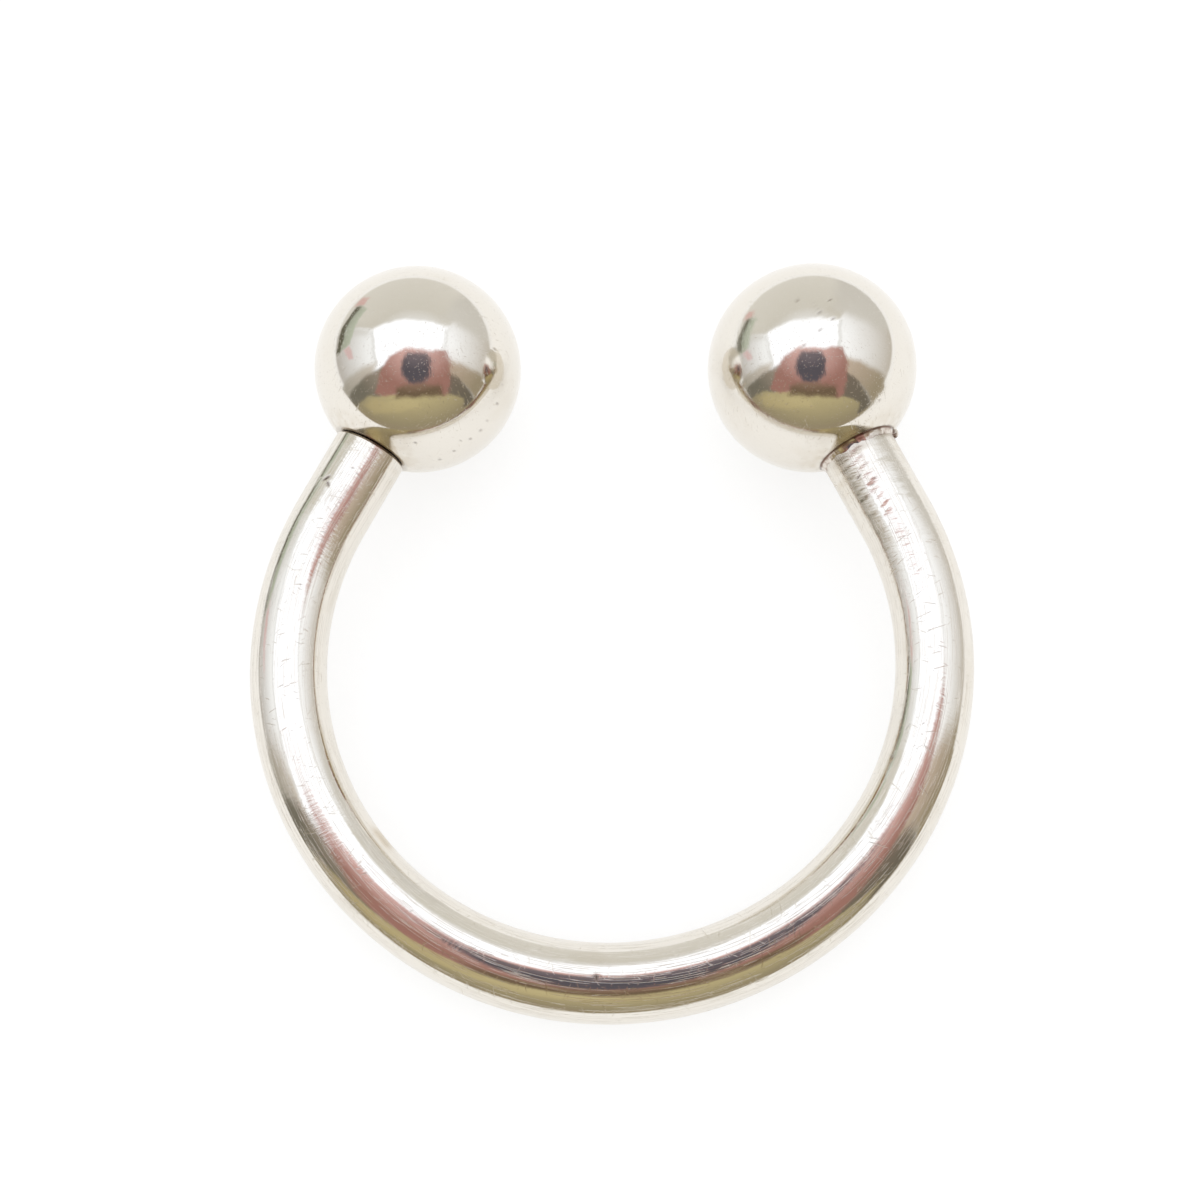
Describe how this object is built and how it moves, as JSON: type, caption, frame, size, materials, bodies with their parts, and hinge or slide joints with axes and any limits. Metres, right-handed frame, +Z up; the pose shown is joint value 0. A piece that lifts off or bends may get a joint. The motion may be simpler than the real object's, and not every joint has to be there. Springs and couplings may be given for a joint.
{
  "type": "ball-ended key ring",
  "caption": "C-shaped key ring bent from round silver bar, with a ball on each end; one ball unscrews along its stud so that keys can be threaded on.",
  "frame": {"origin": "middle of the outer box, on the surface that the ring lies on", "axes": "+Z up from that surface, +Y from the bottom of the C to the balls, +X from the screw ball to the fixed ball"},
  "size_m": [0.0352, 0.0376, 0.0105],
  "materials": {
    "polished_silver": "hand-polished silver with fine wear scratches",
    "silver_solder": "dull, slightly tarnished",
    "stud_steel": "turned, unpolished"
  },
  "bodies": {
    "ring": {"ring_bar": "polished_silver", "screw_stud": "stud_steel", "screw_stud_solder": "silver_solder", "fixed_peg": "stud_steel", "fixed_peg_root_solder": "silver_solder", "fixed_peg_tip_solder": "silver_solder", "fixed_ball": "polished_silver", "fixed_ball_solder": "silver_solder"},
    "ball_solder": {"screw_bush_solder": "silver_solder"},
    "ball": {"screw_ball": "polished_silver", "screw_bush": "stud_steel"}
  },
  "joints": [
    {"name": "ball_travel", "type": "slide", "parent": "ring", "child": "ball_solder", "axis": [0.4502, 0.8875, 0.098], "range_m": [0, 0.00428]},
    {"name": "ball_turn", "type": "hinge", "parent": "ball_solder", "child": "ball", "pos_m": [-0.0122, 0.00926, 0.00477], "axis": [0.4502, 0.8875, 0.098], "range_deg": [0, 3420]}
  ],
  "couplings": [
    {"joint": "ball_travel", "follows": "ball_turn", "m_per_rad": 0.00007162}
  ]
}
